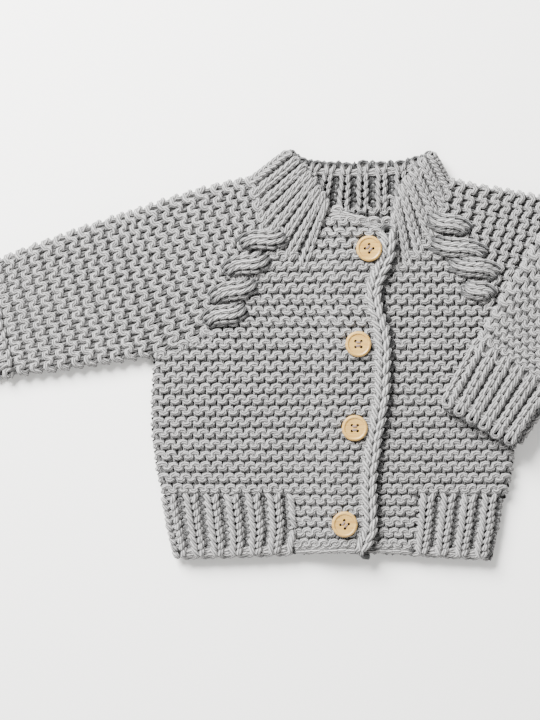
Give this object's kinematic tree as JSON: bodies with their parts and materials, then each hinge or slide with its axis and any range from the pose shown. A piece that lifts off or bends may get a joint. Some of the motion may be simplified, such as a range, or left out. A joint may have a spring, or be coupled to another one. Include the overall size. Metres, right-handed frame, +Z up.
{
  "type": "baby cardigan",
  "caption": "Hand-knitted grey baby cardigan with raglan sleeves, rope cables, ribbed collar, cuffs and hem, and wooden buttons, laid flat with one sleeve folded over.",
  "frame": {"origin": "on the flat underside of the back, near its middle, where it rests on the surface", "axes": "+Z up from the surface, +Y up the body to the neck, +X towards the wearer's left side"},
  "size_m": [0.4908, 0.2825, 0.0199],
  "materials": {
    "garter_knit": "thick soft grey plied yarn in garter stitch, matt and slightly fuzzy",
    "rib_knit": "the same yarn in one-by-one rib",
    "raised_knit": "the same yarn in rope cables and a slipped-stitch braid",
    "button_wood": "pale yellow wood with fine grain and a satin varnish",
    "button_thread": "greyish pink sewing thread"
  },
  "bodies": {
    "root": {"back": "garter_knit", "front_right": "garter_knit", "front_left": "garter_knit", "band_right": "garter_knit", "band_left": "garter_knit", "sleeve_right": "garter_knit", "sleeve_left_upper": "garter_knit", "sleeve_left_forearm": "garter_knit", "back_hem_rib": "rib_knit", "front_right_hem_rib": "rib_knit", "front_left_hem_rib": "rib_knit", "cuff_right": "rib_knit", "cuff_left": "rib_knit", "collar_back": "rib_knit", "collar_right": "rib_knit", "collar_left": "rib_knit", "front_edge_chain": "raised_knit", "cable_right": "raised_knit", "cable_left": "raised_knit", "button_1": "button_wood", "button_2": "button_wood", "button_3": "button_wood", "button_4": "button_wood", "button_thread_1": "button_thread", "button_thread_2": "button_thread", "button_thread_3": "button_thread", "button_thread_4": "button_thread"}
  },
  "joints": []
}
